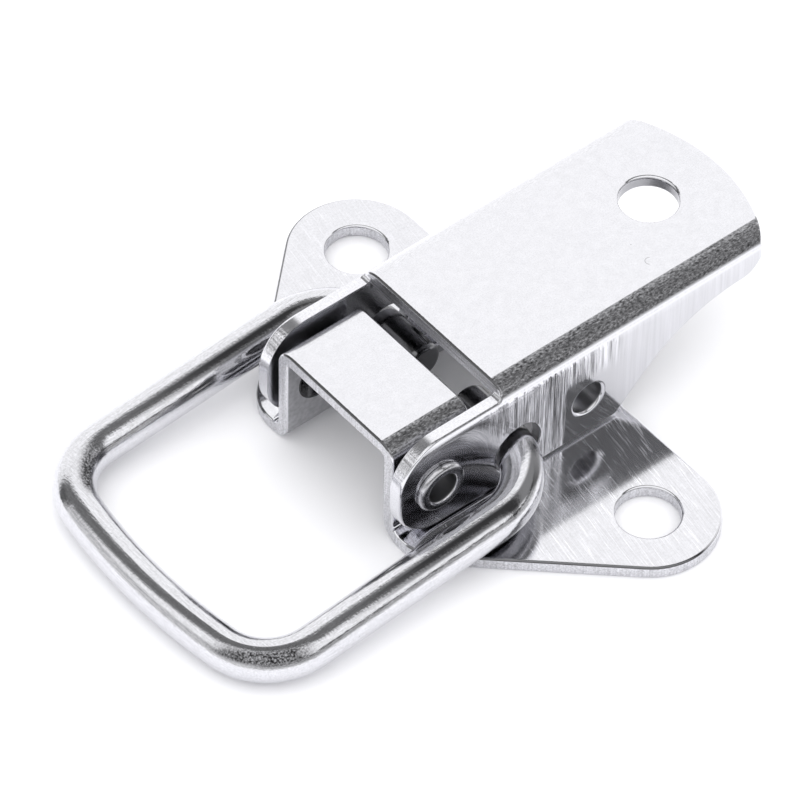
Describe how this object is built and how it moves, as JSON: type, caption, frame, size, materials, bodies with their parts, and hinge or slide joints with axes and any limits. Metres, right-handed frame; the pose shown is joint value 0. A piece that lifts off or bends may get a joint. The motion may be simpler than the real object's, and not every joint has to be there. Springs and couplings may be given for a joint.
{
  "type": "over centre toggle latch",
  "caption": "Over centre toggle latch: a folded steel lever pivots on a screw-down base plate and draws in a bent wire bail.",
  "frame": {"origin": "midway between the mounting holes, on the underside of the base plate", "axes": "+Z away from the mounting surface, +X towards the lever's grip, +Y across the latch along the line of mounting holes"},
  "size_m": [0.0739, 0.0594, 0.015],
  "materials": {
    "pressings": "polished stainless sheet with a faint grain",
    "wire": "drawn stainless wire, slightly duller than the sheet",
    "rivets": "turned stainless"
  },
  "bodies": {
    "base": {"base_plate": "pressings", "rivet_left": "rivets", "rivet_right": "rivets"},
    "lever": {"lever": "pressings"},
    "bail": {"wire_bail": "wire"}
  },
  "joints": [
    {"name": "lever_hinge", "type": "hinge", "parent": "base", "child": "lever", "pos_m": [-0.017, 0, 0.0073], "axis": [0, -1, 0], "range_deg": [0, 100]},
    {"name": "bail_hinge", "type": "hinge", "parent": "lever", "child": "bail", "pos_m": [-0.00695, 0, 0.00535], "axis": [0, 1, 0], "range_deg": [0, 100]}
  ],
  "couplings": [
    {"joint": "bail_hinge", "follows": "lever_hinge", "ratio": 1}
  ]
}
